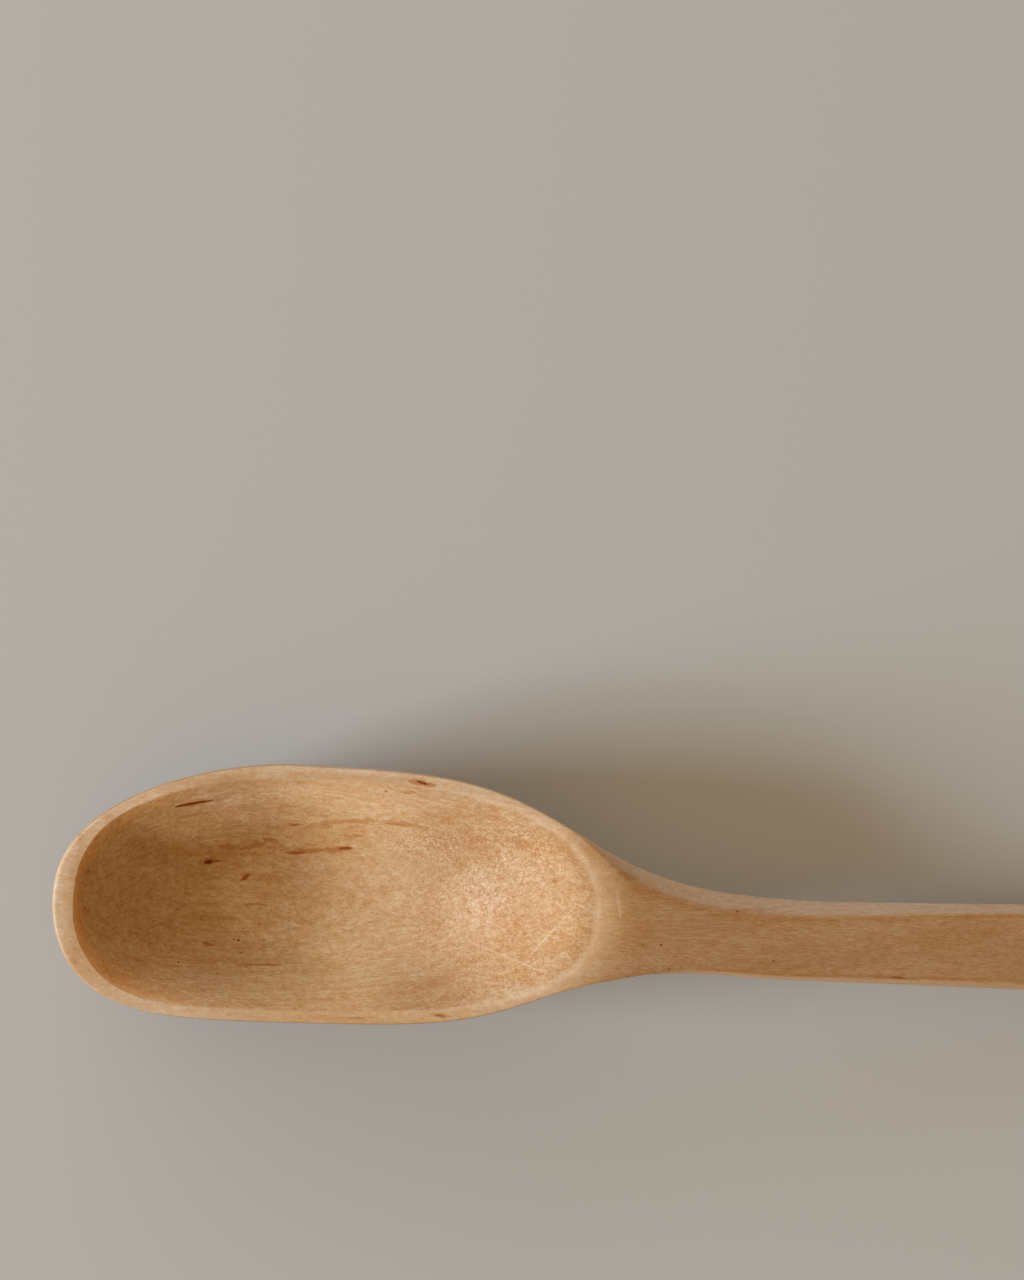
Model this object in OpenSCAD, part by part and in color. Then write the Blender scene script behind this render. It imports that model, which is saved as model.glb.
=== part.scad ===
// A hand-carved wooden serving spoon: a long, deep bowl, and a handle set a little to one side.
// The spoon lies on a table at z = 0, with its bowl towards -X and its handle towards +X.
// Its left side is at +Y, as seen by someone who holds the handle. A distance called s is
// measured along the spoon from the tip of the bowl.

/* [Overall] */
// Length from the tip of the bowl to the end of the handle
overall_length = 260; // [230:1:300]

/* [Bowl] */
// Length from the tip to the crest, where the neck begins
bowl_length = 91; // [80:0.5:105]
// Greatest width across the rim
bowl_width = 41.8; // [36:0.2:50]
// Height of the rim above the table
rim_height = 19; // [17:0.5:26]
// How much higher than the rim the crest stands
crest_rise = 1.5; // [0:0.1:4]
// Distance from the tip to the widest place of the left side
wide_left = 37; // [30:1:44]
// Distance from the tip to the widest place of the right side
wide_right = 53; // [40:1:58]
// How far the tip lies to the right of the bowl's middle line
tip_shift = 2.2; // [0:0.1:4]
// Distance from the tip to where the round belly has come down to the table
belly_rise = 34; // [26:1:40]
// Length of the stretch of belly that lies level on the table
belly_level = 13; // [8:1:20]
// How deep the flat under the bowl is cut into the belly
rest_cut = 0.4; // [0.2:0.1:0.8]

/* [Hollow] */
// Greatest depth of the hollow below the rim
hollow_depth = 14; // [9:0.5:15]
// Distance from the tip to the deepest place
hollow_deepest = 33; // [26:1:42]
// Distance from the tip to the widest place of the hollow
hollow_widest = 42; // [34:1:50]
// Width of the rim along the sides
side_rim = 2.1; // [1.6:0.1:4]
// Width of the rim at the tip
tip_rim = 3.4; // [2:0.1:6]
// Width of the rounded crest between the hollow and the neck
crest_rim = 2.4; // [1.5:0.1:5]
// How far the hollow's tip lies to the right of the bowl's middle line
hollow_tip_shift = 3.5; // [1:0.1:5]
// How far the hollow's other end lies to the right of that line
hollow_end_shift = 2; // [0:0.1:4]

/* [Neck] */
// Distance from the crest to the waist, where the handle is narrowest
neck_length = 39; // [30:1:50]
// How far the neck draws in on the right, where the bowl runs out into it
neck_draw = 0.9; // [0:0.1:2]
// Width of the slanting side along the neck's left
left_bevel = 2.8; // [1:0.1:3.6]
// Width of the slanting side along the neck's right
right_bevel = 1; // [0.6:0.1:3]

/* [Handle] */
// How far the handle's middle line lies to the right of the bowl's
handle_shift = 5.3; // [0:0.1:7]
// Width of the handle at its waist
waist_width = 13.6; // [11:0.1:18]
// Thickness of the handle at its waist
waist_thickness = 9.6; // [7:0.1:12]
// Width of the handle near its end
end_width = 18; // [14:0.1:24]
// Thickness of the handle near its end
end_thickness = 7; // [5:0.1:10]
// Width of the slanting sides near the end
end_bevel = 1.5; // [0.6:0.1:3]
// How far down the slanting sides reach at the waist
bevel_drop = 4; // [2:0.1:5]
// How much the top face is crowned across its width
top_crown = 0.3; // [0:0.1:1]
// Length over which the end is rounded in plan
end_round = 13; // [8:0.5:20]
// Length over which the end is nosed off, seen from the side
end_nose = 4; // [2:0.5:6]

/* [Hidden] */

half_bowl = bowl_width / 2;
half_hollow = half_bowl - side_rim;
crest_height = rim_height + crest_rise;
waist = bowl_length + neck_length;
round_start = overall_length - end_round;
hollow_end = bowl_length - crest_rim;
belly_end = belly_rise + belly_level;

// The stations where one length of the spoon meets the next
neck_start = bowl_length + 5;
handle_start = waist;
end_start = round_start - 7;

// Rounding of the rim's outer edge: how far in and how far down it reaches
rim_round = 0.5;
rim_drop = 1.2;
// The shoulders start here, and each ends some way past the crest or the waist.
shoulder_start = 30;
left_shoulder_end = waist + 13;
right_shoulder_end = bowl_length + 25;
// The first and last sections are taken this far inside the outline, so that each is a small flat.
blunt = 0.1;

// Points along each stretch of a section
belly_steps = 22;
bevel_steps = 3;
rim_steps = 2;
hollow_steps = 14;

function mix(a, b, t) = a + (b - a) * t;
function clamp(t) = min(1, max(0, t));
function smooth(t) = clamp(t) * clamp(t) * (3 - 2 * clamp(t));
function ramp(s, a, b) = smooth((s - a) / (b - a));

// A quarter of a round outline, 0 and upright at t = 0, 1 and level at t = 1
function quarter(t, level, upright) = pow(1 - pow(1 - clamp(t), level), 1 / upright);

// A rise from 0 to 1, eased at its foot and at its head, and late where the weight is above 1
function shoulder(t, foot, head, weight) =
    let (u = clamp(t))
    pow(u, foot) / (pow(u, foot) + weight * pow(1 - u, head));

// Plan of the handle, which widens from its waist and is rounded at its end
function end_plan(s) = quarter((overall_length + blunt - s) / (end_round + blunt), 2.3, 2.1);
function handle_half(s) =
    mix(waist_width, end_width, max(0, s - waist) / (overall_length - waist)) / 2 * end_plan(s);

// Plan of the bowl's two sides, each from the tip to its widest place
function bowl_left(s) = mix(-tip_shift, half_bowl, quarter((s + blunt) / wide_left, 1.67, 2.33));
function bowl_right(s) = mix(-tip_shift, -half_bowl, quarter((s + blunt) / wide_right, 6, 2));

// Plan of the whole spoon: each side leaves the bowl by a shoulder and runs out into the handle
function side_left(s) =
    let (t = (s - shoulder_start) / (left_shoulder_end - shoulder_start))
    mix(bowl_left(s), handle_half(s) - handle_shift, shoulder(t, 4, 2.1, 0.26));
function side_right(s) =
    let (t = (s - shoulder_start) / (right_shoulder_end - shoulder_start))
    let (drawn = neck_draw * exp(-pow((s - bowl_length - 15) / 13, 2)))
    mix(bowl_right(s), drawn - handle_half(s) - handle_shift, shoulder(t, 2.75, 4, 4.9));

// Height of the rim, the crest and the top face of the handle, which sinks to the table at its end
function top_line(s) =
    let (t = clamp((s - bowl_length) / (round_start - bowl_length)))
    s < bowl_length ? mix(rim_height, crest_height, ramp(s, hollow_deepest, bowl_length))
    : mix(crest_height, end_thickness, 1 - pow(1 - t, 1.3));

// Thickness of the handle, and how much of it the nose takes off above and below
function thickness(s) = mix(waist_thickness, end_thickness, clamp((s - waist) / (round_start - waist)));
function nosed(s) = thickness(s) * 0.35 * (1 - quarter((overall_length - s) / end_nose, 2, 2));
function top_height(s) = top_line(s) - nosed(s);

// The slanting sides of the neck and handle, which the rim's rounded edge runs out into
function bevelled(s) = ramp(s, bowl_length - 9, bowl_length + 6);
function bevel(s, first, start) =
    mix(rim_round, mix(first, end_bevel, ramp(s, waist - 25, waist + 35)), start) * end_plan(s);
function bevel_left(s) = bevel(s, left_bevel, bevelled(s));
function bevel_right(s) = bevel(s, right_bevel, bevelled(s - 8));
function drop(s) = mix(rim_drop, bevel_drop * (thickness(s) - 2 * nosed(s)) / waist_thickness, bevelled(s));
function side_height(s) = top_height(s) - drop(s);

// Lowest line of the spoon: up around the tip, level under the bowl, then up to the neck and handle
function underside(s) =
    s < belly_rise ? mix(side_height(s), -rest_cut, quarter((s + blunt) / belly_rise, 2.3, 2.2))
    : mix(-rest_cut, top_line(s) - thickness(s) + nosed(s), ramp(s, belly_end, bowl_length + 4));

// Plan of one side of the hollow: from its tip to its widest place, then on to the crest
function hollow_edge(s, peak, level, upright) =
    s < hollow_widest
    ? mix(-hollow_tip_shift, peak, quarter((s - tip_rim + blunt) / (hollow_widest - tip_rim), level, upright))
    : mix(-hollow_end_shift, peak, quarter((hollow_end - s + blunt) / (hollow_end - hollow_widest), 2.6, 2.4));

// Before and after the hollow, its two edges run on as a strip along the middle of the top face.
function in_hollow(s) = min(hollow_end, max(tip_rim, s));
function face_left(s) = side_left(s) - bevel_left(s);
function face_right(s) = side_right(s) + bevel_right(s);
function across_face(s, share) = mix(face_right(s), face_left(s), share);
function strip(s, share, edge) = mix(edge, across_face(s, share), ramp(s, hollow_end, neck_start));
function edge_left(s) =
    min(across_face(s, 0.97), strip(s, 0.85, hollow_edge(in_hollow(s), half_hollow, 2, 2.9)));
function edge_right(s) =
    max(across_face(s, 0.03), strip(s, 0.15, hollow_edge(in_hollow(s), -half_hollow, 5, 1.8)));

// Depth of the hollow along its middle: a steep wall at the tip and a long slope up to the crest
function depth(s) =
    let (back = clamp((s - hollow_deepest) / (hollow_end - hollow_deepest)))
    s < hollow_deepest ? hollow_depth * quarter((s - tip_rim) / (hollow_deepest - tip_rim), 2.4, 2)
    : hollow_depth * pow(1 - back * back, 1.2);

// Height of the top surface: the hollow across the bowl, the crown across the handle
function top_at(s, y) =
    let (middle = (edge_left(s) + edge_right(s)) / 2)
    let (across = clamp(abs(y - middle) * 2 / (edge_left(s) - edge_right(s))))
    let (sunk = depth(s) * (1 - pow(across, 2.4)))
    let (aside = (y - (face_left(s) + face_right(s)) / 2) * 2 / (face_left(s) - face_right(s)))
    top_height(s) - sunk - top_crown * bevelled(s) * aside * aside;

function round_power(v) = sign(v) * pow(abs(v), 2 / 2.25);

// One section across the spoon, from its left side down round the belly and back over the top
function belly_points(s) = [
    for (i = [0:belly_steps])
    let (turn = 180 * i / belly_steps)
    let (middle = (side_left(s) + side_right(s)) / 2)
    let (half = (side_left(s) - side_right(s)) / 2)
    [middle + half * round_power(cos(turn)), mix(side_height(s), underside(s), round_power(sin(turn)))]
];

// How far in and how far up a point of the slanting side is, from the widest line to the top face
function bevel_in(s, f) = mix(1 - cos(90 * f), f, 0.6 * bevelled(s));
function bevel_up(s, f) = mix(sin(90 * f), f, 0.6 * bevelled(s));
function crown_edge(s) = top_height(s) - top_crown * bevelled(s);
function bevel_height(s, f) = mix(side_height(s), crown_edge(s), bevel_up(s, f));

function top_across(s) = [
    for (i = [0:rim_steps - 1]) mix(face_right(s), edge_right(s), i / rim_steps),
    for (i = [0:hollow_steps - 1]) mix(edge_right(s), edge_left(s), i / hollow_steps),
    for (i = [0:rim_steps]) mix(edge_left(s), face_left(s), i / rim_steps)
];

function section(s) = [
    for (p = belly_points(s)) p,
    for (j = [1:bevel_steps - 1])
        let (f = j / bevel_steps)
        [side_right(s) + bevel_right(s) * bevel_in(s, f), bevel_height(s, f)],
    for (y = top_across(s)) [y, top_at(s, y)],
    for (j = [bevel_steps - 1:-1:1])
        let (f = j / bevel_steps)
        [side_left(s) - bevel_left(s) * bevel_in(s, f), bevel_height(s, f)]
];

// Stations from one distance to another, crowded towards the first of them where crowd is above 1
function stations(from, to, steps, crowd = 1) = [
    for (i = [0:steps - 1]) mix(from, to, pow(i / steps, crowd))
];
function crowded_last(from, to, steps, crowd) = [
    for (i = [0:steps - 1]) mix(to, from, pow(1 - i / steps, crowd))
];

// A solid through the sections at the given stations, closed by a flat at each end
module carved(along) {
    rings = [for (s = along) section(s)];
    count = len(rings[0]);
    last = len(rings) - 1;
    points = [
        for (i = [0:last])
        for (p = rings[i])
        [along[i] - overall_length / 2, p[0], p[1]]
    ];
    walls = [
        for (i = [0:last - 1])
        for (j = [0:count - 1])
        let (a = i * count + j)
        let (b = i * count + (j + 1) % count)
        each [[a, b, b + count], [a, b + count, a + count]]
    ];
    first_flat = [for (j = [0:count - 1]) count - 1 - j];
    last_flat = [for (j = [0:count - 1]) last * count + j];
    polyhedron(points = points, faces = concat([first_flat], walls, [last_flat]));
}

// The bowl, with the flat on which it stands cut into its belly
module bowl() {
    along = concat(
        stations(0, tip_rim, 5, 1.7),
        stations(tip_rim, hollow_deepest, 16, 2),
        stations(hollow_deepest, hollow_end - 12, 12),
        crowded_last(hollow_end - 12, hollow_end, 9, 1.8),
        stations(hollow_end, neck_start, 4),
        [neck_start]
    );
    color(wood)
    difference() {
        carved(along);
        translate([-overall_length / 2, -half_bowl, -10])
            cube([neck_start, bowl_width, 10]);
    }
}

// The neck, which narrows from the bowl's shoulders to the waist of the handle
module neck() {
    color(wood)
    carved(concat(stations(neck_start, handle_start, 12), [handle_start]));
}

// The straight of the handle
module handle() {
    color(wood)
    carved(concat(stations(handle_start, end_start, 8), [end_start]));
}

// The rounded end of the handle, whose underside touches the table
module handle_end() {
    along = concat(
        stations(end_start, round_start, 2),
        crowded_last(round_start, overall_length, 12, 2),
        [overall_length]
    );
    color(wood)
    carved(along);
}

wood = "burlywood";

bowl();
neck();
handle();
handle_end();
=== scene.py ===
# A hand-carved wooden serving spoon, seen from above on a pale table, in soft light from the left.
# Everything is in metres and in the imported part's own frame. Shapes are worked out in millimetres.
import math

import bpy
import numpy as np
from mathutils import Matrix, Vector


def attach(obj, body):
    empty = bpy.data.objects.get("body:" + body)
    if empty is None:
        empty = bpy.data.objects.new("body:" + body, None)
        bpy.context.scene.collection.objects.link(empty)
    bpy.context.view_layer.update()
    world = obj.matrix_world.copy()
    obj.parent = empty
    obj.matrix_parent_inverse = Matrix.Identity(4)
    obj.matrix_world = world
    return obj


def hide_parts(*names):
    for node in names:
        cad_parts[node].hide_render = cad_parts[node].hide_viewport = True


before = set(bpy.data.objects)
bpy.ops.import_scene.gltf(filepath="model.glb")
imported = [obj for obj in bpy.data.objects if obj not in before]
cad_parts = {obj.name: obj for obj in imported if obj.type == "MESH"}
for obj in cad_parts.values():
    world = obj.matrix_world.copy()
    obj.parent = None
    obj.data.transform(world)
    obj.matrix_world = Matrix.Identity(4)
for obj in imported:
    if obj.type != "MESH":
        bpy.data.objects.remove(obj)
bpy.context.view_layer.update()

# ---- The spoon ----
# One piece of pale close-grained wood. It was sawn to the plan, hollowed with a bent knife, shaped
# with a straight knife and sanded. The four named lengths of the part are this one piece.
# Sizes are in millimetres: s runs along the spoon from the tip, y across it and z up from the table.

OVERALL = 260.0
BOWL_LENGTH = 91.0
HALF_BOWL = 20.895
RIM_HEIGHT = 19.0
CREST_HEIGHT = 20.5
WIDE_LEFT = 37.0
WIDE_RIGHT = 53.0
TIP_SHIFT = 2.2
BELLY_RISE = 34.0
BELLY_END = 47.0
REST_CUT = 0.4
HOLLOW_DEPTH = 14.0
HOLLOW_DEEPEST = 33.0
HOLLOW_WIDEST = 42.0
HALF_HOLLOW = 18.8
HOLLOW_START = 3.4
HOLLOW_END = 88.6
HOLLOW_TIP_SHIFT = 3.5
HOLLOW_END_SHIFT = 2.0
WAIST = 130.0
NECK_DRAW = 0.9
LEFT_BEVEL = 2.8
RIGHT_BEVEL = 1.0
HANDLE_SHIFT = 5.3
WAIST_WIDTH = 13.6
WAIST_THICKNESS = 9.6
END_WIDTH = 18.0
END_THICKNESS = 7.0
END_BEVEL = 1.5
END_NOSE = 4.0
BEVEL_DROP = 4.0
TOP_CROWN = 0.3
ROUND_START = 247.0
RIM_ROUND = 0.25
RIM_DROP = 1.2
LIP_ROUND = 0.5
CREST_ROUND = 1.3
SHOULDER_START = 30.0


def mix(a, b, t):
    """A share t of the way from a to b."""
    return a + (b - a) * t


def ramp(s, start, end):
    """A rise from 0 at start to 1 at end, level at both: t squared times three less two t."""
    t = np.clip((s - start) / (end - start), 0, 1)
    return t * t * (3 - 2 * t)


def quarter(t, level, upright):
    """A quarter of a round outline: one less (1 - t) to the power level, to the power 1 / upright."""
    return (1 - (1 - np.clip(t, 0, 1)) ** level) ** (1 / upright)


def shoulder(t, foot, head, weight):
    """A rise from 0 to 1: t to the power foot, against weight times (1 - t) to the power head."""
    u = np.clip(t, 0, 1)
    return u ** foot / (u ** foot + weight * (1 - u) ** head)


def lower_of(a, b, soft):
    """The lower of two heights, rounded where they are closer than soft: less soft / 4 where they meet."""
    soft = np.maximum(soft, 1e-6)
    near = np.clip(1 - np.abs(a - b) / soft, 0, 1)
    return np.minimum(a, b) - near * near * soft / 4


def handle_half(s):
    """Half the handle's width: a straight taper from the waist, rounded off at the end."""
    taper = mix(WAIST_WIDTH, END_WIDTH, np.maximum(0, s - WAIST) / (OVERALL - WAIST)) / 2
    return taper * quarter((OVERALL - s) / (OVERALL - ROUND_START), 2.3, 2.1)


def side_left(s):
    """The outline on the left: the bowl's quarter round, then a long shoulder into the handle."""
    bowl = mix(-TIP_SHIFT, HALF_BOWL, quarter(s / WIDE_LEFT, 1.67, 2.33))
    run_out = shoulder((s - SHOULDER_START) / (WAIST + 13 - SHOULDER_START), 4, 2.1, 0.26)
    return mix(bowl, handle_half(s) - HANDLE_SHIFT, run_out)


def side_right(s):
    """The outline on the right: the same with a shorter shoulder, drawn in a little past the bowl."""
    bowl = mix(-TIP_SHIFT, -HALF_BOWL, quarter(s / WIDE_RIGHT, 6, 2))
    run_out = shoulder((s - SHOULDER_START) / (BOWL_LENGTH + 25 - SHOULDER_START), 2.75, 4, 4.9)
    drawn = NECK_DRAW * np.exp(-((s - BOWL_LENGTH - 15) / 13) ** 2)
    return mix(bowl, drawn - handle_half(s) - HANDLE_SHIFT, run_out)


def middle(s):
    """Halfway between the two sides."""
    return (side_left(s) + side_right(s)) / 2


def top_line(s):
    """Height along the top: a slow rise to the crest, then the long fall of the handle, rounded between."""
    rise = mix(RIM_HEIGHT, CREST_HEIGHT, ramp(s, HOLLOW_DEEPEST, BOWL_LENGTH))
    t = np.minimum(1, (s - BOWL_LENGTH) / (ROUND_START - BOWL_LENGTH))
    fall = mix(CREST_HEIGHT, END_THICKNESS, 1 - (1 - t) ** 1.3)
    return np.where(s < BOWL_LENGTH - 20, rise, lower_of(rise, fall, 1.4))


def thickness(s):
    """Thickness of the handle: a straight taper from the waist to the end."""
    return mix(WAIST_THICKNESS, END_THICKNESS, np.clip((s - WAIST) / (ROUND_START - WAIST), 0, 1))


def bevelled(s):
    """How far the rim's rounded edge has become the handle's slanting side: 0 at the bowl, 1 at the neck."""
    return ramp(s, BOWL_LENGTH - 9, BOWL_LENGTH + 6)


def bevel(s, first, share):
    """Width of the slanting side in plan: the rim's round at share 0, first and then the end's at share 1."""
    return mix(RIM_ROUND, mix(first, END_BEVEL, ramp(s, WAIST - 25, WAIST + 35)), share)


def underside(s):
    """Lowest line: level under the bowl, then a smooth rise to the underside of the neck and handle."""
    return mix(-REST_CUT, top_line(s) - thickness(s), ramp(s, BELLY_END, BOWL_LENGTH + 4))


def hollow_side(s, peak, level, upright):
    """One side of the hollow's edge: a quarter round from its tip, then another one to the crest."""
    front = quarter((s - HOLLOW_START) / (HOLLOW_WIDEST - HOLLOW_START), level, upright)
    back = quarter((HOLLOW_END - s) / (HOLLOW_END - HOLLOW_WIDEST), 2.6, 2.4)
    return np.where(s < HOLLOW_WIDEST, mix(-HOLLOW_TIP_SHIFT, peak, front),
                    mix(-HOLLOW_END_SHIFT, peak, back))


def hollow_left(s):
    """The hollow's edge on the left."""
    return hollow_side(s, HALF_HOLLOW, 2, 2.9)


def hollow_right(s):
    """The hollow's edge on the right."""
    return hollow_side(s, -HALF_HOLLOW, 5, 1.8)


def depth(s):
    """Depth along the hollow's middle: a steep quarter round at the tip, a long slope to the crest."""
    back = np.clip((s - HOLLOW_DEEPEST) / (HOLLOW_END - HOLLOW_DEEPEST), 0, 1)
    front = quarter((s - HOLLOW_START) / (HOLLOW_DEEPEST - HOLLOW_START), 2.4, 2)
    return HOLLOW_DEPTH * np.where(s < HOLLOW_DEEPEST, front, (1 - back * back) ** 1.2)


def above_rim(s, y):
    """How far the hollow's own surface is above the rim: less the depth times one less the share of the
    way across to the power 2.4. It runs on past the hollow's edge, and past both its ends on one slope."""
    first, last = HOLLOW_START + 0.1, HOLLOW_END - 1
    inside = np.clip(s, first, last)
    centre = (hollow_left(inside) + hollow_right(inside)) / 2
    half_width = (hollow_left(inside) - hollow_right(inside)) / 2
    share = np.abs(y - centre) / half_width
    past_tip = np.maximum(0, first - s) / 0.1 * depth(np.array(first))
    past_end = np.maximum(0, s - last) * depth(np.array(last))
    return past_tip + past_end - depth(inside) * (1 - share ** 2.4)


def from_edge(s, y):
    """Distance outwards from the hollow's edge, less than 0 inside it: the height above the rim
    against its own steepness."""
    step = 0.01
    height = above_rim(s, y)
    steepness = np.hypot(above_rim(s + step, y) - height, above_rim(s, y + step) - height) / step
    return height / np.maximum(steepness, 0.05)


def closed_curve(start, end, left, right):
    """Points of a closed curve from its left and right side, crowded towards both ends."""
    along = start + (end - start) * (1 - np.cos(np.linspace(0, np.pi, 6001))) / 2
    return np.concatenate([along, along]), np.concatenate([left(along), right(along)])


def reach(curve, centre, turn):
    """How far a closed curve is from a centre inside it, in the directions turn."""
    s, y = curve[0] - centre[0], curve[1] - centre[1]
    return np.interp(turn, np.arctan2(y, s), np.hypot(s, y), period=2 * np.pi)


outline = closed_curve(0, OVERALL, side_left, side_right)
hollow_edge = closed_curve(HOLLOW_START, HOLLOW_END, hollow_left, hollow_right)

# Half-curves run from the middle line out over the top face, round the widest line, and back
# underneath. They stand square to the length, and fan out round the tip and round the handle's end.
TIP_TURNS = 157
END_TURNS = 61
tip_centre = (BELLY_RISE, middle(np.array(BELLY_RISE)))
end_centre = (ROUND_START, -HANDLE_SHIFT)
tip_turn = np.linspace(0.5 * np.pi, 1.5 * np.pi, TIP_TURNS)
end_turn = np.linspace(-0.5 * np.pi, 0.5 * np.pi, END_TURNS)
bowl_stations = np.linspace(BELLY_RISE, 100, 166)[1:]
handle_stations = np.linspace(100, ROUND_START, 136)[1:-1]
straight = np.concatenate([bowl_stations, handle_stations])
STATIONS = len(straight)
tip_reach = reach(outline, tip_centre, tip_turn)
end_reach = reach(outline, end_centre, end_turn)
end_ness = np.cos(end_turn) ** 2


def round_the_spoon(tip, right, end, left):
    """One value for each half-curve: round the tip, along the right, round the end, back on the left."""
    def full(value, count):
        return np.broadcast_to(np.asarray(value, float), (count,))
    return np.concatenate([full(tip, TIP_TURNS), full(right, STATIONS),
                           full(end, END_TURNS), full(left, STATIONS)[::-1]])


start_s = round_the_spoon(tip_centre[0], straight, end_centre[0], straight)
start_y = round_the_spoon(tip_centre[1], middle(straight), end_centre[1], middle(straight))
edge_s = round_the_spoon(tip_centre[0] + tip_reach * np.cos(tip_turn), straight,
                         end_centre[0] + end_reach * np.cos(end_turn), straight)
edge_y = round_the_spoon(tip_centre[1] + tip_reach * np.sin(tip_turn), side_right(straight),
                         end_centre[1] + end_reach * np.sin(end_turn), side_left(straight))
length = np.hypot(edge_s - start_s, edge_y - start_y)
right_bevel = bevel(straight, RIGHT_BEVEL, bevelled(straight - 8))
left_bevel = bevel(straight, LEFT_BEVEL, bevelled(straight))
nose_bevel = mix(END_BEVEL, END_NOSE, end_ness)
bevel_width = round_the_spoon(RIM_ROUND, right_bevel, nose_bevel, left_bevel)
side_drop = mix(RIM_DROP, BEVEL_DROP * thickness(straight) / WAIST_THICKNESS, bevelled(straight))
nose_drop = mix(BEVEL_DROP * END_THICKNESS / WAIST_THICKNESS, 3.3, end_ness)
bevel_drop = round_the_spoon(RIM_DROP, side_drop, nose_drop, side_drop)
side_height = top_line(edge_s) - bevel_drop
flatness = round_the_spoon(0, 0.75 * bevelled(straight), 0.75 * (1 - end_ness), 0.75 * bevelled(straight))
lowest = round_the_spoon(-REST_CUT, underside(straight), 0, underside(straight))
roundness = round_the_spoon(2.25, 2.25, mix(2.25, 4.5, end_ness), 2.25)

# The line along which the rows of faces follow the hollow's edge. It leaves it near the crest.
leaving = ramp(straight, 76, 96)
inner_tip = tip_reach - reach(hollow_edge, tip_centre, tip_turn)
inner_right = mix(hollow_right(straight) - side_right(straight), right_bevel + 1.8, leaving)
inner_left = mix(side_left(straight) - hollow_left(straight), left_bevel + 1.8, leaving)
inner = round_the_spoon(inner_tip, inner_right, nose_bevel + 1.8, inner_left)


def stretch(start, end, steps, crowd=1.0):
    """Rows of distances from start up to end, without end, crowded towards start where crowd is above 1."""
    share = (np.arange(steps) / steps)[:, None] ** crowd
    return mix(start[None, :], end[None, :], share)


# Rows of distances in from the outline, over the bevel, the rim, its inner edge and the hollow
EDGE_BAND = 0.55
bevel_turn = np.linspace(0, 0.5, 9)[:-1, None] * np.pi
rows = np.concatenate([
    bevel_width * (1 - np.cos(bevel_turn)),
    stretch(bevel_width, inner - EDGE_BAND, 6),
    stretch(inner - EDGE_BAND, inner + EDGE_BAND, 8),
    stretch(inner + EDGE_BAND, length, 26, 1.25),
    length[None, :]])
top_s = mix(edge_s, start_s, rows / length)
top_y = mix(edge_y, start_y, rows / length)

# The top face is the lowest of three: the crowned face, the slanting side and the hollow
across = np.minimum(1, (length - rows) / (length - bevel_width))
crowned = top_line(top_s) - TOP_CROWN * bevelled(top_s) * across ** 2
q = rows / bevel_width
rounded = np.sqrt(1 - np.clip(1 - q, 0, 1) ** 2)
slant = side_height + bevel_drop * np.where(q < 1, mix(rounded, q, flatness), 1 + flatness * (q - 1))
face = lower_of(crowned, slant, 0.3 * flatness)
lip_round = mix(LIP_ROUND, CREST_ROUND, ramp(top_s, 58, 88))
top_z = lower_of(face, top_line(top_s) + above_rim(top_s, top_y), lip_round)

# Underneath, a rounded quarter from the widest line to the middle line, cut level where it would sink
BELLY_ROWS = 40
fall = np.linspace(0, 0.5, BELLY_ROWS + 1)[1:, None] * np.pi
out = np.cos(fall).clip(0, 1) ** (2 / roundness)
down = np.sin(fall) ** (2 / roundness)
belly_s = mix(start_s, edge_s, out)
belly_y = mix(start_y, edge_y, out)
belly_z = mix(side_height, lowest, down)
belly_z = np.maximum(0, -lower_of(-belly_z, np.zeros_like(belly_z), 0.12))

# Both ends of a half-curve are shared: by a whole fan, or by the two half-curves of one station
all_s = np.concatenate([top_s[::-1], belly_s])
all_y = np.concatenate([top_y[::-1], belly_y])
all_z = np.concatenate([top_z[::-1], belly_z])
ROWS, COLUMNS = all_s.shape
station = np.concatenate([np.zeros(TIP_TURNS, int), np.arange(1, STATIONS + 1),
                          np.full(END_TURNS, STATIONS + 1), np.arange(STATIONS, 0, -1)])
SHARED = STATIONS + 2
index = np.empty((ROWS, COLUMNS), int)
index[0] = station
index[-1] = station + SHARED
index[1:-1] = 2 * SHARED + np.arange((ROWS - 2) * COLUMNS).reshape(ROWS - 2, COLUMNS)
POINTS = 2 * SHARED + (ROWS - 2) * COLUMNS
points = np.empty((POINTS, 3))
points[index.ravel()] = np.stack([all_s - OVERALL / 2, all_y, all_z], -1).reshape(-1, 3) / 1000
following = np.roll(index, -1, 1)
quads = np.stack([index[:-1], index[1:], following[1:], following[:-1]], -1).reshape(-1, 4)
joined_above = quads[:, 0] == quads[:, 3]
joined_below = quads[:, 1] == quads[:, 2]
faces = (quads[~(joined_above | joined_below)].tolist() + quads[joined_above][:, :3].tolist()
         + quads[joined_below][:, [0, 1, 3]].tolist())

mesh = bpy.data.meshes.new("spoon_wood")
mesh.from_pydata(points.tolist(), [], faces)
mesh.polygons.foreach_set("use_smooth", np.ones(len(mesh.polygons), bool))
mesh.update()
spoon = bpy.data.objects.new("spoon_wood", mesh)
bpy.context.scene.collection.objects.link(spoon)


def keep_share(name, top, belly):
    """A share from 0 to 1 at every point, for the material: one value each for the top and the belly."""
    values = np.empty(POINTS)
    both = np.concatenate([np.broadcast_to(top, top_s.shape)[::-1], np.broadcast_to(belly, belly_s.shape)])
    values[index.ravel()] = both.ravel()
    mesh.attributes.new(name, "FLOAT", "POINT").data.foreach_set("value", values.astype(np.float32))


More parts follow.
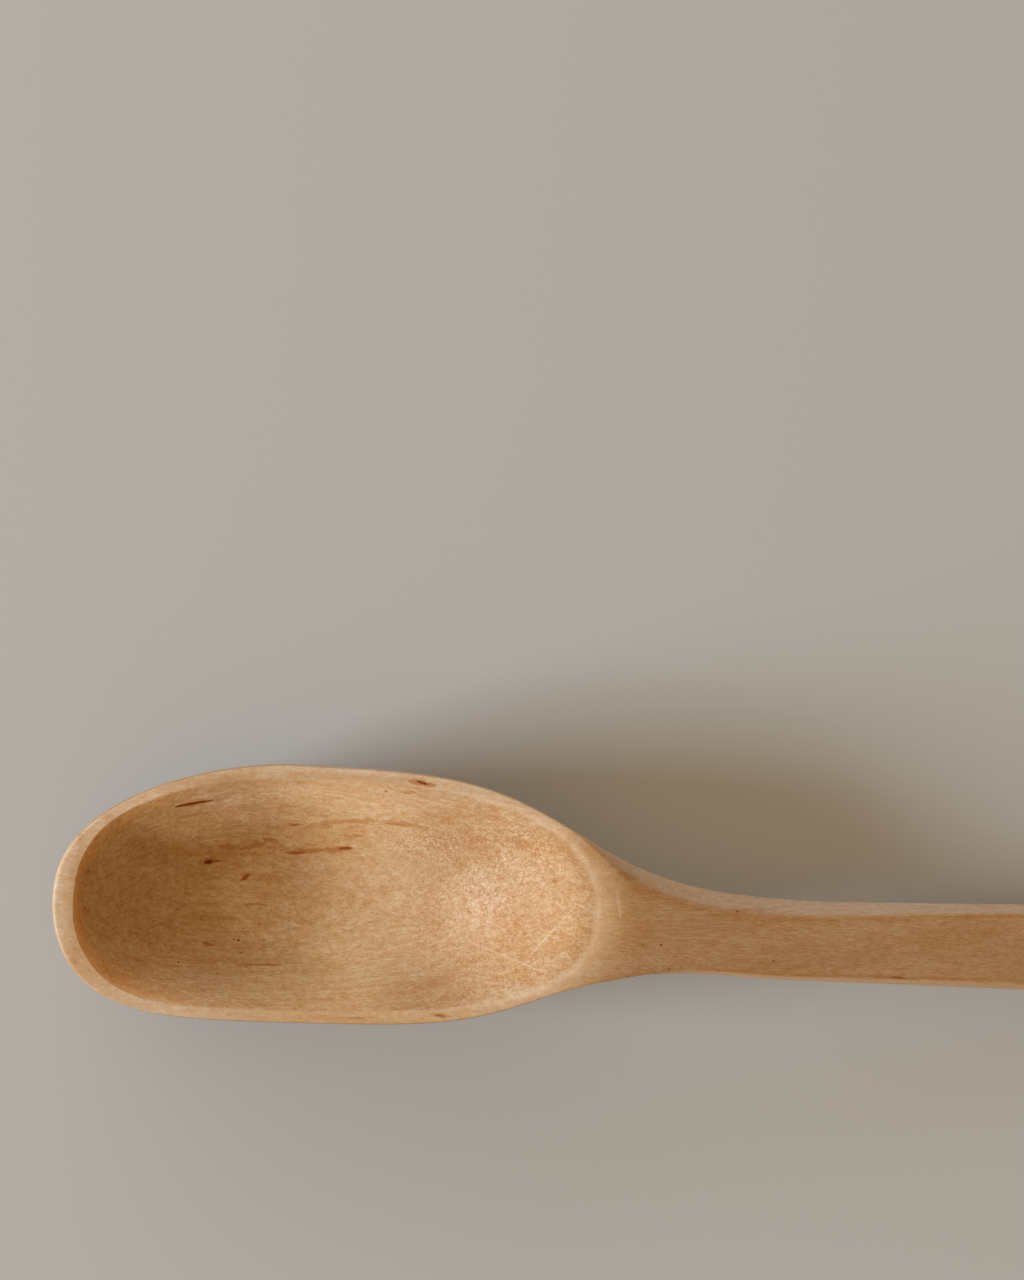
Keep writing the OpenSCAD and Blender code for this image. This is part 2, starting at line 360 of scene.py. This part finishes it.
outward = from_edge(top_s, top_y)
on_left = ramp(top_y - middle(top_s), -2, 2)
keep_share("carved_out", ramp(-outward, -0.15, mix(0.25, 1.0, ramp(top_s, 62, 84))), 0)
# Painted light: a glow painted on the hollow's inner wall just under the rim near the tip, brighter and orange
keep_share("painted_edge_glow", ramp(-outward, -0.15, 0.15) * np.exp(-np.maximum(0, -outward) / 1.2)
           * (1 - ramp(top_s, 14, 28)) * mix(mix(0.55, 0.48, on_left), 1, np.exp(-((top_y + 3) / 7) ** 2)), 0)
keep_share("hollow_lip", np.exp(-((outward - 0.35) / mix(0.45, 0.6, ramp(top_s, 70, 86))) ** 2)
           * mix(ramp(top_s, 66, 80), ramp(top_s, 56, 70), on_left), 0)
warm_left = ramp(top_s, 4, 10) * mix(1, ramp(rows, 0.5, 1.5), ramp(top_s, 16, 26))
tip_top = np.exp(-(top_s / 5) ** 2 - ((top_y - 1) / 7) ** 2)
pale_sides = mix(0.48 - 0.48 * ramp(top_s, 14, 34),
                 (0.74 - 0.34 * ramp(top_s, 48, 66)) * (1 - warm_left), on_left)
near_tip = 1 - ramp(top_s, 3, 10)
keep_share("pale_rim", np.maximum(tip_top, pale_sides) * mix(1, ramp(outward, 0.4, 2.8), near_tip), 0)
orange_left = ramp(top_s, 3, 8) * (1 - ramp(top_s, 22, 34))
orange_right = 0.45 * ramp(top_s, 1, 5) * (1 - ramp(top_s, 10, 22))
inner_orange = 0.8 * near_tip * np.exp(-(outward / 1.1) ** 2)
keep_share("orange_rim", np.maximum(mix(orange_right, orange_left, on_left), inner_orange), 0)
# The outer rounded edge of the rim darker, partly rubbed wood and partly painted shade; the belly underneath darker as
# painted shade
keep_share("rubbed_and_shaded", (1 - ramp(q, 0.4, 1.2)) * (1 - ramp(top_s, 60, 84))
           * (1 - 0.55 * on_left * ramp(top_s, 6, 16)),
           np.maximum(1 - ramp(belly_z, 12, 18), 0.7 * (1 - ramp(belly_s, 8, 20))))
keep_share("neck_wood", ramp(outward, 0.4, 9) * ramp(top_s, 82, 96), ramp(belly_s, 84, 96))
keep_share("slanting", np.clip(1.15 - q, 0, 0.3) / 0.3 * bevelled(top_s), ramp(belly_s, 80, 100))
keep_share("right_side", (1 - on_left) * (1 - ramp(q, 0.8, 1.2)) * bevelled(top_s), 0)
keep_share("arris", np.exp(-((q - 1.15) / 0.3) ** 2) * ramp(top_s, 85, 99), 0)
keep_share("upper", ramp(q, 0, 1), 0)

# The wood's colours, and its marks where the photograph shows them


def paint(red, green, blue):
    """A colour given as a screen shows it, from 0 to 255, as the light values that a material takes."""
    c = np.array([red, green, blue]) / 255
    return (*np.where(c <= 0.04045, c / 12.92, ((c + 0.055) / 1.055) ** 2.4), 1.0)


RIM_WOOD = paint(204, 173, 136)
WARM_RIM = paint(190, 151, 106)
TIP_WOOD = paint(185, 143, 93)
# The floor of the bowl is paler: partly its own colour and partly painted light
FLOOR_OF_BOWL = paint(207, 167, 116)
BACK_WOOD = paint(176, 133, 86)
HANDLE_WOOD = paint(171, 130, 85)
SIDE_WOOD = paint(182, 151, 118)
PALE = (1.14, 1.30, 1.52, 1.0)
DEEP = (0.86, 0.70, 0.48, 1.0)
# Painted light: a tint that makes patches paler where more light falls on them
PAINTED_LIGHT_TINT = (1.50, 1.82, 2.70, 1.0)
WORN_LIP_AND_HIGHLIGHT = paint(199, 161, 120)
# Darker on the outer edge and underneath: partly rubbed wood, partly painted shade
RUBBED_AND_SHADED = (0.46, 0.38, 0.28, 1.0)
ORANGE = (0.93, 0.79, 0.54, 1.0)
SHADE = (0.80, 0.76, 0.66, 1.0)
WARM_SIDE = (0.98, 0.87, 0.70, 1.0)
ORANGE_RIM = (0.90, 0.84, 0.74, 1.0)
# A painted glow: light painted into the colour, not a colour the wood has
PAINTED_GLOW = (1.75, 1.50, 1.10, 1.0)
UMBER = (0.64, 0.42, 0.21, 1.0)
SIENNA = (0.72, 0.50, 0.26, 1.0)
RUST = (0.68, 0.40, 0.14, 1.0)
FLECK = (0.52, 0.31, 0.14, 1.0)
FUZZ = paint(216, 187, 153)

# Each mark: s and y of both its ends, its width, all in millimetres, and how strong it is
DARK_MARKS = [
    (18.8, 13.0, 25.0, 14.4, 0.42, 0.90), (24.8, 3.5, 26.4, 3.7, 0.55, 0.92), (26.0, 3.7, 28.0, 3.8, 0.25, 0.60),
    (31.2, 0.7, 32.7, 1.8, 0.55, 0.80), (46.9, 6.9, 49.2, 7.0, 0.36, 0.80), (38.5, 5.6, 41.5, 5.9, 0.35, 0.60),
    (57.3, 19.2, 59.3, 18.75, 0.34, 0.85), (25.1, -9.6, 27.1, -9.95, 0.38, 0.60),
    (33.6, -12.65, 38.3, -12.5, 0.22, 0.60), (30.9, -9.0, 31.4, -8.95, 0.32, 0.95),
    (30.3, -8.9, 30.6, -8.85, 0.20, 0.60), (31.3, -10.9, 31.7, -10.9, 0.20, 0.50),
    (34.3, -6.4, 34.7, -6.4, 0.18, 0.50), (21.0, -12.6, 21.4, -12.6, 0.25, 0.85),
    (16.0, -7.65, 18.9, -6.5, 0.16, 0.55), (20.4, -4.4, 21.7, -4.3, 0.16, 0.45),
    (5.1, -4.0, 5.5, -4.1, 0.25, 0.70), (5.7, -4.4, 6.0, -4.5, 0.22, 0.60), (38.6, 10.45, 39.8, 10.6, 0.28, 0.55),
    (52.5, 17.3, 53.0, 17.2, 0.30, 0.60), (43.1, 15.1, 43.4, 15.1, 0.26, 0.60), (49.5, 17.0, 49.9, 17.0, 0.22, 0.45),
    (58.2, 7.1, 58.6, 7.1, 0.24, 0.45), (62.6, -18.8, 64.2, -18.9, 0.27, 0.65), (47.4, -19.6, 51.2, -19.7, 0.26, 0.40),
    (113.4, -0.2, 113.9, -0.2, 0.30, 0.70), (100.0, -6.1, 100.5, -6.1, 0.28, 0.70), (120.4, -8.3, 120.8, -8.3, 0.24, 0.75),
    (96.9, -6.2, 97.3, -6.2, 0.22, 0.50), (101.6, -10.1, 102.1, -10.1, 0.24, 0.45), (142.6, -10.7, 145.2, -10.85, 0.22, 0.60),
    (53.8, 11.6, 57.4, 11.4, 0.30, 0.35)]
BROWN_MARKS = [
    (31.6, -3.2, 35.9, -3.2, 0.40, 0.80), (37.2, 10.3, 40.6, 10.7, 0.35, 0.70), (27.0, 6.4, 31.2, 6.0, 0.60, 0.75),
    (30.8, 6.0, 34.9, 7.2, 0.70, 0.85), (34.4, 7.7, 37.0, 7.4, 0.60, 0.85), (38.0, 5.6, 44.7, 6.5, 0.70, 0.75),
    (44.0, 6.4, 49.6, 7.0, 0.75, 0.70), (25.6, -0.8, 27.3, -0.7, 0.30, 0.60), (12.7, 5.9, 15.2, 6.2, 0.45, 0.50),
    (40.1, 10.0, 47.3, 11.7, 0.60, 0.55), (46.5, 11.6, 53.0, 12.1, 0.65, 0.65), (52.1, 12.1, 60.8, 11.3, 0.60, 0.65),
    (48.2, 9.0, 50.7, 9.1, 0.40, 0.60), (55.2, 17.2, 57.8, 17.2, 0.32, 0.70), (55.6, 19.4, 60.4, 18.6, 0.80, 0.65),
    (68.4, -1.7, 68.8, -2.8, 0.40, 0.90), (63.7, 2.5, 64.1, 2.5, 0.32, 0.80), (81.3, 3.6, 82.2, 4.1, 0.75, 0.70),
    (73.7, 10.6, 77.5, 9.1, 1.00, 0.55), (61.6, -18.7, 65.0, -18.9, 0.60, 0.60), (4.0, -11.7, 4.1, -12.4, 0.35, 0.70),
    (91.8, 5.6, 96.0, 4.8, 0.90, 0.45), (5.2, 2.4, 5.6, 1.6, 0.45, 0.70), (138.0, -10.6, 148.0, -11.0, 0.30, 0.45),
    (30.6, -12.7, 34.2, -12.7, 0.24, 0.50), (18.6, 12.9, 27.4, 14.9, 0.70, 0.40), (112.5, 0.0, 121.0, 0.35, 0.45, 0.40),
    (23.8, 3.4, 27.4, 3.9, 0.90, 0.50), (88.0, -12.0, 97.0, -10.9, 0.50, 0.35)]
PALE_MARKS = [
    (67.6, -6.9, 80.8, -11.3, 0.20, 0.60), (69.9, -13.3, 76.6, -13.7, 0.20, 0.45), (77.4, -10.1, 85.5, 0.3, 0.20, 0.60),
    (84.9, 0.4, 88.0, -1.0, 0.20, 0.50), (82.0, -4.5, 85.3, -1.0, 0.16, 0.35), (80.8, 1.1, 84.2, -1.2, 0.16, 0.35),
    (92.0, 2.3, 92.8, -1.9, 0.42, 0.70), (72.8, 8.9, 73.9, 5.6, 0.40, 0.50), (70.0, 4.5, 72.4, 0.0, 0.50, 0.35),
    (72.3, 0.5, 71.5, -6.0, 0.50, 0.35), (66.0, 1.0, 67.0, -5.0, 0.50, 0.30)]

# Each patch: s and y of its centre, half its length and width, in millimetres, and how strong it is
FUZZY_PATCHES = [
    (65.0, 8.5, 5.0, 2.0, 1.00), (70.5, 1.6, 5.0, 6.0, 0.75), (41.5, 4.0, 4.5, 4.5, 0.90), (24.0, 7.4, 5.0, 1.8, 0.55),
    (25.1, -16.0, 1.8, 2.6, 0.65), (66.0, -2.0, 10.0, 9.0, 0.30), (75.0, 8.0, 9.0, 6.5, 0.60),
    (48.0, 11.5, 14.0, 4.0, 0.60), (36.0, -14.5, 9.0, 3.0, 0.35), (97.0, -7.5, 7.0, 3.0, 0.45),
    (60.0, 8.5, 10.0, 4.0, 0.75)]
BROWN_PATCHES = [
    (26.0, 5.2, 13.0, 1.6, 0.60), (42.0, 6.3, 9.0, 1.5, 0.55), (76.6, -12.2, 3.6, 1.5, 0.95), (83.0, -7.0, 3.2, 1.6, 0.90),
    (86.4, -3.8, 1.7, 1.1, 0.80), (79.0, 9.0, 6.0, 4.0, 0.75), (66.0, 14.0, 9.0, 2.0, 0.50), (95.0, 3.5, 4.5, 2.2, 0.60),
    (112.0, -2.0, 14.0, 2.2, 0.30), (150.0, -4.0, 14.0, 3.0, 0.40), (47.0, 9.5, 11.0, 3.0, 0.50), (75.0, -6.0, 6.0, 7.0, 0.40),
    (12.0, -13.5, 8.0, 3.0, 0.60), (60.0, -20.2, 30.0, 1.1, 0.75), (96.0, 0.0, 4.0, 4.0, 0.30),
    (71.0, 8.0, 7.0, 4.5, 0.50), (85.0, -1.0, 9.0, 10.0, 0.50), (94.5, -2.0, 6.0, 8.0, 0.72),
    (88.0, 9.8, 3.8, 2.2, 0.85)]
# Painted shade: patches of the hollow's lower and left walls made darker where less light falls
SHADED_PATCHES = [(36.0, -15.0, 17.0, 6.8, 1.00), (67.0, 7.0, 13.0, 8.0, 0.55), (58.0, -14.0, 13.0, 5.5, 0.55)]
# Painted light: patches of the hollow's walls and floor and of the handle's slanting side, made paler where more light
# falls
PAINTED_LIGHT_PATCHES = [
    (20.5, 11.8, 14.5, 5.6, 1.00), (8.0, 7.5, 6.0, 6.5, 0.28), (34.0, -1.5, 8.0, 9.0, 0.42),
    (113.0, 2.4, 11.0, 2.4, 0.16),
    (58.0, 15.5, 8.0, 2.6, 0.15), (71.0, -1.0, 4.0, 8.0, 0.10)]

wood = bpy.data.materials.new("bare_wood")
wood.use_nodes = True
wood_tree = wood.node_tree


def put(tree, kind, *values, **settings):
    """Adds a node. Values go to its inputs in order, other nodes' outputs as links, None as it is."""
    made = tree.nodes.new("ShaderNode" + kind)
    for name, value in settings.items():
        setattr(made, name, value)
    for socket, value in zip(made.inputs, values):
        if isinstance(value, bpy.types.NodeSocket):
            tree.links.new(value, socket)
        elif value is not None:
            socket.default_value = value
    return made


def calc(operation, *values, tree=wood_tree):
    """A number from others: their sum, product, power, or the like."""
    return put(tree, "Math", *values, operation=operation).outputs[0]


def between(value, low, high, tree=wood_tree):
    """A smooth rise from 0 where the value is low to 1 where it is high, or a fall where low is the larger."""
    made = put(tree, "MapRange", value, low, high, 0.0, 1.0, interpolation_type="SMOOTHSTEP")
    return made.outputs[0]


def noise(where, scale, detail=2.0, rough=0.5, twist=0.0):
    """Soft irregular variation about a half, with so many waves to a unit of where."""
    made = put(wood_tree, "TexNoise", where)
    made.inputs["Scale"].default_value = scale
    made.inputs["Detail"].default_value = detail
    made.inputs["Roughness"].default_value = rough
    made.inputs["Distortion"].default_value = twist
    return made.outputs["Fac"]


def blend(share, first, second, how="MIX"):
    """Two colours mixed by a share, or the first one multiplied by the second as far as the share says."""
    made = put(wood_tree, "Mix", data_type="RGBA", blend_type=how)
    for socket, value in zip((made.inputs[0], made.inputs[6], made.inputs[7]), (share, first, second)):
        if isinstance(value, bpy.types.NodeSocket):
            wood_tree.links.new(value, socket)
        else:
            socket.default_value = value
    return made.outputs[2]


def tint(colour, share, by):
    """A colour multiplied by another as far as the share says."""
    return blend(share, colour, by, "MULTIPLY")


def share_of(name):
    """One of the shares kept with the mesh."""
    return put(wood_tree, "Attribute", attribute_name=name).outputs["Fac"]


# Places in millimetres: along the spoon from the tip, across and up. Layers of growth lie nearly
# level in the billet, long in the grain's direction, and waver a little.
place = put(wood_tree, "Mapping", put(wood_tree, "TexCoord").outputs["Object"],
            (OVERALL / 2, 0, 0), None, (1000, 1000, 1000)).outputs[0]
axes = put(wood_tree, "SeparateXYZ", place).outputs
drift = put(wood_tree, "TexNoise", put(wood_tree, "Mapping", place, None, None, (0.4, 1.0, 1.0)).outputs[0])
drift.inputs["Scale"].default_value = 0.07
drift.inputs["Detail"].default_value = 1.0
sway = put(wood_tree, "VectorMath", drift.outputs["Color"], (0.5, 0.5, 0.5), operation="SUBTRACT").outputs[0]
wavering = put(wood_tree, "VectorMath", sway, (0.0, 5.0, 5.0), place, operation="MULTIPLY_ADD").outputs[0]
layers = put(wood_tree, "Mapping", wavering, None, (0.16, 0.03, 0.02), (110, 5.5, 1.25),
             vector_type="TEXTURE").outputs[0]
lines = put(wood_tree, "Mapping", wavering, None, (0.16, 0.03, 0.02), (26, 0.9, 0.5),
            vector_type="TEXTURE").outputs[0]
fibres = put(wood_tree, "Mapping", wavering, None, None, (2.6, 0.17, 0.17), vector_type="TEXTURE").outputs[0]
pores = put(wood_tree, "Mapping", wavering, None, None, (1.5, 0.14, 0.14), vector_type="TEXTURE").outputs[0]

broad = noise(put(wood_tree, "Mapping", wavering, None, None, (30, 7, 7), vector_type="TEXTURE").outputs[0], 1.0, 2.0)
layer = noise(layers, 1.0, 3.0, 0.55)
line = noise(lines, 1.0, 3.0, 0.6)
fibre = noise(fibres, 1.0, 2.0, 0.6)
pore = noise(pores, 1.0, 1.0, 0.5)
fuzz = noise(place, 2.4, 3.0, 0.7, 0.6)
speckle = noise(place, 1.1, 3.0, 0.65, 0.3)
mottle = noise(put(wood_tree, "Mapping", wavering, None, None, (1.35, 1, 1), vector_type="TEXTURE").outputs[0],
               1.05, 3.0, 1.0, 0.2)

# One mark is a spindle between two ends; one patch is an oval with a soft edge


def mark_tool(name, body):
    """A group of nodes that adds one shape to those before it: the larger of the two at each point."""
    tree = bpy.data.node_groups.new(name, "ShaderNodeTree")
    for socket, kind in (("Place", "Vector"), ("First", "Vector"), ("Second", "Vector"), ("Width", "Float"),
                         ("Strength", "Float"), ("Before", "Float")):
        tree.interface.new_socket(socket, in_out="INPUT", socket_type="NodeSocket" + kind)
    tree.interface.new_socket("After", in_out="OUTPUT", socket_type="NodeSocketFloat")
    given = tree.nodes.new("NodeGroupInput").outputs
    shape = body(tree, given)
    strong = calc("MULTIPLY", shape, given["Strength"], tree=tree)
    result = tree.nodes.new("NodeGroupOutput")
    tree.links.new(calc("MAXIMUM", strong, given["Before"], tree=tree), result.inputs[0])
    return tree


def spindle(tree, given):
    """How far inside a spindle a point is: its distance from the line between the ends, against a
    width that swells from a fifth at the ends to the whole in the middle."""
    span = put(tree, "VectorMath", given["Second"], given["First"], operation="SUBTRACT").outputs[0]
    from_first = put(tree, "VectorMath", given["Place"], given["First"], operation="SUBTRACT").outputs[0]
    along = put(tree, "VectorMath", from_first, span, operation="DOT_PRODUCT").outputs["Value"]
    whole = put(tree, "VectorMath", span, span, operation="DOT_PRODUCT").outputs["Value"]
    t = calc("MINIMUM", calc("MAXIMUM", calc("DIVIDE", along, whole, tree=tree), 0.0, tree=tree), 1.0, tree=tree)
    foot = put(tree, "VectorMath", span, operation="SCALE")
    tree.links.new(t, foot.inputs["Scale"])
    off = put(tree, "VectorMath", from_first, foot.outputs[0], operation="DISTANCE").outputs["Value"]
    swell = calc("MULTIPLY", calc("MULTIPLY", t, calc("SUBTRACT", 1.0, t, tree=tree), tree=tree), 3.2, tree=tree)
    wide = calc("MULTIPLY", calc("ADD", swell, 0.2, tree=tree), given["Width"], tree=tree)
    return between(calc("DIVIDE", off, wide, tree=tree), 1.1, 0.4, tree=tree)


def oval(tree, given):
    """How far inside an oval a point is: its distance from the centre against the half sizes."""
    off = put(tree, "VectorMath", given["Place"], given["First"], operation="SUBTRACT").outputs[0]
    share = put(tree, "VectorMath", off, given["Second"], operation="DIVIDE").outputs[0]
    far = put(tree, "VectorMath", share, operation="LENGTH").outputs["Value"]
    return between(far, 1.15, 0.25, tree=tree)


spindle_tool = mark_tool("spindle_mark", spindle)
oval_tool = mark_tool("oval_patch", oval)


def add_marks(tool, where, marks):
    """All marks or patches of one kind, one after the other, as one share from 0 to 1."""
    total = 0.0
    for first_s, first_y, second_s, second_y, *rest in marks:
        width, strength = rest if len(rest) == 2 else (1.0, rest[0])
        group = put(wood_tree, "Group", node_tree=tool)
        for socket, value in zip(group.inputs, (where, (first_s, first_y, 0), (second_s, second_y, 0), width,
                                                strength, total)):
            if isinstance(value, bpy.types.NodeSocket):
                wood_tree.links.new(value, socket)
            else:
                socket.default_value = value
        total = group.outputs[0]
    return total


flat = put(wood_tree, "Mapping", place, None, None, (1, 1, 0)).outputs[0]


def ragged(scale, by):
    """The place from above, shifted by up to about half of by, so that edges come out ragged."""
    made = put(wood_tree, "TexNoise", place)
    made.inputs["Scale"].default_value = scale
    made.inputs["Detail"].default_value = 2.0
    centred = put(wood_tree, "VectorMath", made.outputs["Color"], (0.5, 0.5, 0.5), operation="SUBTRACT").outputs[0]
    return put(wood_tree, "VectorMath", centred, (by, by, 0.0), flat, operation="MULTIPLY_ADD").outputs[0]


dark = add_marks(spindle_tool, ragged(1.1, 0.40), DARK_MARKS)
brown = add_marks(spindle_tool, ragged(0.9, 0.90), BROWN_MARKS)
pale = add_marks(spindle_tool, ragged(0.3, 0.30), PALE_MARKS)
fuzzy = add_marks(oval_tool, ragged(0.25, 5.0), FUZZY_PATCHES)
browned = add_marks(oval_tool, ragged(0.35, 3.5), BROWN_PATCHES)
painted_light = add_marks(oval_tool, ragged(0.30, 4.0), PAINTED_LIGHT_PATCHES)
shaded = add_marks(oval_tool, ragged(0.30, 4.0), SHADED_PATCHES)

# Base colour, zone by zone
upper = share_of("upper")
carved = share_of("carved_out")
lip = share_of("hollow_lip")
slanting = share_of("slanting")
# The floor of the bowl is painted paler, partly as painted light
bowl_wood = blend(between(axes[0], 14.0, 42.0), TIP_WOOD, FLOOR_OF_BOWL)
bowl_wood = blend(between(axes[0], 45.0, 65.0), bowl_wood, BACK_WOOD)
outside = blend(share_of("pale_rim"), WARM_RIM, RIM_WOOD)
outside = tint(outside, share_of("orange_rim"), ORANGE_RIM)
outside = tint(outside, calc("MULTIPLY", share_of("rubbed_and_shaded"), 0.8), RUBBED_AND_SHADED)
outside = blend(share_of("neck_wood"), outside, HANDLE_WOOD)
# The slanting sides are paler: partly their own wood and partly painted light
outside = blend(slanting, outside, SIDE_WOOD)
outside = tint(outside, share_of("right_side"), WARM_SIDE)
outside = tint(outside, calc("MULTIPLY", share_of("arris"), 0.75), ORANGE)
colour = blend(carved, outside, bowl_wood)
# The hollow's lip near the crest paler: partly worn wood and partly a painted highlight on its rounded edge
colour = blend(calc("MULTIPLY", lip, 0.62), colour, WORN_LIP_AND_HIGHLIGHT)
# Painted light: the glow under the rim near the tip
colour = tint(colour, share_of("painted_edge_glow"), PAINTED_GLOW)

# Growth, fibres and pores
off_rim = calc("MAXIMUM", carved, share_of("neck_wood"))
calm = calc("ADD", calc("MULTIPLY", slanting, 0.35), calc("MULTIPLY", share_of("neck_wood"), 0.22))
lively = calc("SUBTRACT", calc("MULTIPLY_ADD", off_rim, 0.4, 0.6), calm)
middling = calc("MULTIPLY", between(axes[0], 36.0, 46.0), between(axes[0], 74.0, 62.0))
mottled = calc("MULTIPLY", lively, calc("MULTIPLY_ADD", carved, calc("MULTIPLY_ADD", middling, -0.25, 0.15), 0.85))
mottled = calc("MULTIPLY", mottled, calc("MULTIPLY_ADD", share_of("neck_wood"), -0.45, 1.0))
for pattern, low, high, strength in ((broad, 0.3, 0.7, 0.22), (layer, 0.3, 0.7, 0.26), (line, 0.28, 0.72, 0.36)):
    colour = tint(colour, calc("MULTIPLY", lively, strength), blend(between(pattern, low, high), DEEP, PALE))
fibrous = calc("MULTIPLY_ADD", share_of("neck_wood"), 0.20, calc("MULTIPLY_ADD", off_rim, 0.25, 0.30))
for pattern, low, high, strength in ((fibre, 0.25, 0.75, fibrous), (mottle, 0.28, 0.72, mottled)):
    colour = tint(colour, strength, blend(between(pattern, low, high), DEEP, PALE))
colour = tint(colour, calc("MULTIPLY", between(pore, 0.64, 0.74), 0.42), UMBER)

# Raised fuzz of the carved end grain, pale on top and darker between
roughened = calc("MULTIPLY", carved, calc("ADD", 0.22, calc("MULTIPLY", between(axes[0], 58.0, 72.0), 0.28)))
roughened = calc("MINIMUM", 1.0, calc("ADD", roughened, calc("MULTIPLY", fuzzy, upper)))
colour = tint(colour, calc("MULTIPLY", between(fuzz, 0.47, 0.30), calc("MULTIPLY", roughened, 0.22)), UMBER)
colour = blend(calc("MULTIPLY", between(fuzz, 0.48, 0.67), calc("MULTIPLY", roughened, 0.62)), colour, FUZZ)
colour = tint(colour, calc("MULTIPLY", between(speckle, 0.54, 0.72), calc("MULTIPLY", roughened, 0.28)), UMBER)
colour = blend(calc("MULTIPLY", lip, calc("MULTIPLY", between(fuzz, 0.45, 0.60), 0.32)), colour, FUZZ)

# Stains, flecks and scratches, and patches of painted light and painted shade
colour = tint(colour, calc("MULTIPLY", calc("MULTIPLY", browned, upper), 0.80), ORANGE)
# Painted light: the paler patches
colour = tint(colour, calc("MULTIPLY", calc("MULTIPLY", painted_light, upper), 0.90), PAINTED_LIGHT_TINT)
colour = tint(colour, calc("MULTIPLY", shaded, carved), SHADE)
broken = between(calc("ADD", calc("ADD", fuzz, line), fibre), 1.30, 1.70)
stained = calc("MULTIPLY", calc("MULTIPLY", brown, upper), calc("MULTIPLY_ADD", broken, 1.20, 0.30))
colour = tint(colour, calc("MINIMUM", 1.0, stained), SIENNA)
colour = tint(colour, calc("MINIMUM", 1.0, calc("MULTIPLY", calc("MULTIPLY", dark, upper), 1.3)), RUST)
colour = tint(colour, calc("MULTIPLY", between(dark, 0.66, 1.0), upper), FLECK)
colour = blend(calc("MULTIPLY", calc("MULTIPLY", pale, upper), 0.38), colour, FUZZ)

shader = wood_tree.nodes["Principled BSDF"]
wood_tree.links.new(colour, shader.inputs["Base Color"])
wood_tree.links.new(calc("ADD", 0.54, calc("MULTIPLY", fuzz, 0.20)), shader.inputs["Roughness"])
wood_tree.links.new(calc("MULTIPLY_ADD", dark, -0.3, 0.35), shader.inputs["Specular IOR Level"])
relief = calc("ADD", calc("MULTIPLY", fibre, 0.45), calc("MULTIPLY", calc("MULTIPLY", fuzz, roughened), 1.3))
relief = calc("SUBTRACT", relief, calc("MULTIPLY", calc("MULTIPLY", dark, upper), 0.6))
bump = put(wood_tree, "Bump", 0.5, 0.00012)
wood_tree.links.new(relief, bump.inputs["Height"])
wood_tree.links.new(bump.outputs[0], shader.inputs["Normal"])

mesh.materials.append(wood)
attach(spoon, "root")
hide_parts("bowl", "neck", "handle", "handle_end")

# ---- The table ----
# A level top with a plain coat of pale matt paint. It is part of the stage.

FLOOR_HALF = 6.0
floor_mesh = bpy.data.meshes.new("table_top")
corners = [(-1, -1), (1, -1), (1, 1), (-1, 1)]
floor_mesh.from_pydata([(FLOOR_HALF * x, FLOOR_HALF * y, -0.00002) for x, y in corners], [], [(0, 1, 2, 3)])
table_top = bpy.data.objects.new("table_top", floor_mesh)
bpy.context.scene.collection.objects.link(table_top)
matt_paint = bpy.data.materials.new("matt_paint")
matt_paint.use_nodes = True
paint_shader = matt_paint.node_tree.nodes["Principled BSDF"]
paint_shader.inputs["Base Color"].default_value = paint(176, 171, 158)
paint_shader.inputs["Roughness"].default_value = 0.9
floor_mesh.materials.append(matt_paint)

# ---- The light ----
# A low window on the left and the pale wall beside it, both a little cool, and an even fill from
# the room, a little warm. Together they light a level surface in plain white at about its own level.

AIM = Vector((-0.05, 0, 0))
LIGHT_DISTANCE = 3.0


def soft_light(name, turn, height, wide, tall, level):
    """A soft oblong light that faces the bowl, in degrees round from x and up from the table, and its
    level: what share of full light it gives to a level surface."""
    turn, height = math.radians(turn), math.radians(height)
    towards = Vector((math.cos(turn) * math.cos(height), math.sin(turn) * math.cos(height), math.sin(height)))
    light = bpy.data.lights.new(name, "AREA")
    light.shape = "RECTANGLE"
    light.size = wide
    light.size_y = tall
    light.color = (0.86, 1.05, 1.36)
    light.energy = level * math.pi ** 2 * LIGHT_DISTANCE ** 2 / math.sin(height)
    holder = bpy.data.objects.new(name, light)
    bpy.context.scene.collection.objects.link(holder)
    holder.location = AIM + towards * LIGHT_DISTANCE
    holder.rotation_euler = (-towards).to_track_quat("-Z", "Y").to_euler()
    holder.visible_camera = False


soft_light("window", 190, 14.4, 1.1, 0.8, 0.472)
soft_light("wall_beside", 125, 16, 4.4, 1.4, 0.151)
FILL_LEVEL = 0.444

# The camera and reflections see a pale wall all round, the rest is lit by the warm fill
room = bpy.data.worlds.new("room")
bpy.context.scene.world = room
room.use_nodes = True
fill = room.node_tree.nodes["Background"]
fill.inputs["Color"].default_value = (1.09, 0.785, 0.455, 1.0)
fill.inputs["Strength"].default_value = FILL_LEVEL
wall = put(room.node_tree, "Background", paint(196, 190, 180), 1.0)
rays = put(room.node_tree, "LightPath").outputs
seen = calc("MAXIMUM", calc("MAXIMUM", rays["Is Camera Ray"], rays["Is Glossy Ray"], tree=room.node_tree),
            rays["Is Transmission Ray"], tree=room.node_tree)
either = put(room.node_tree, "MixShader", seen, fill.outputs[0], wall.outputs[0])
room.node_tree.links.new(either.outputs[0], room.node_tree.nodes["World Output"].inputs["Surface"])

# ---- The camera ----
# Nearly straight above the bowl, turned so that the spoon lies across the lower third of the picture.

camera_data = bpy.data.cameras.new("camera")
camera = bpy.data.objects.new("camera", camera_data)
bpy.context.scene.collection.objects.link(camera)
camera_data.lens = 73.58
camera_data.sensor_width = 36.0
camera_data.clip_start = 0.01
camera_data.clip_end = 50.0
right = Vector((0.97649, 0.05692, 0.20791))
up = Vector((-0.05819, 0.99831, 0.0))
placed = Matrix((right, up, right.cross(up).normalized())).transposed().to_4x4()
placed.translation = Vector((-0.1474019, 0.0379182, 0.4401664))
camera.matrix_world = placed
bpy.context.scene.camera = camera
bpy.context.scene.view_settings.view_transform = "Standard"
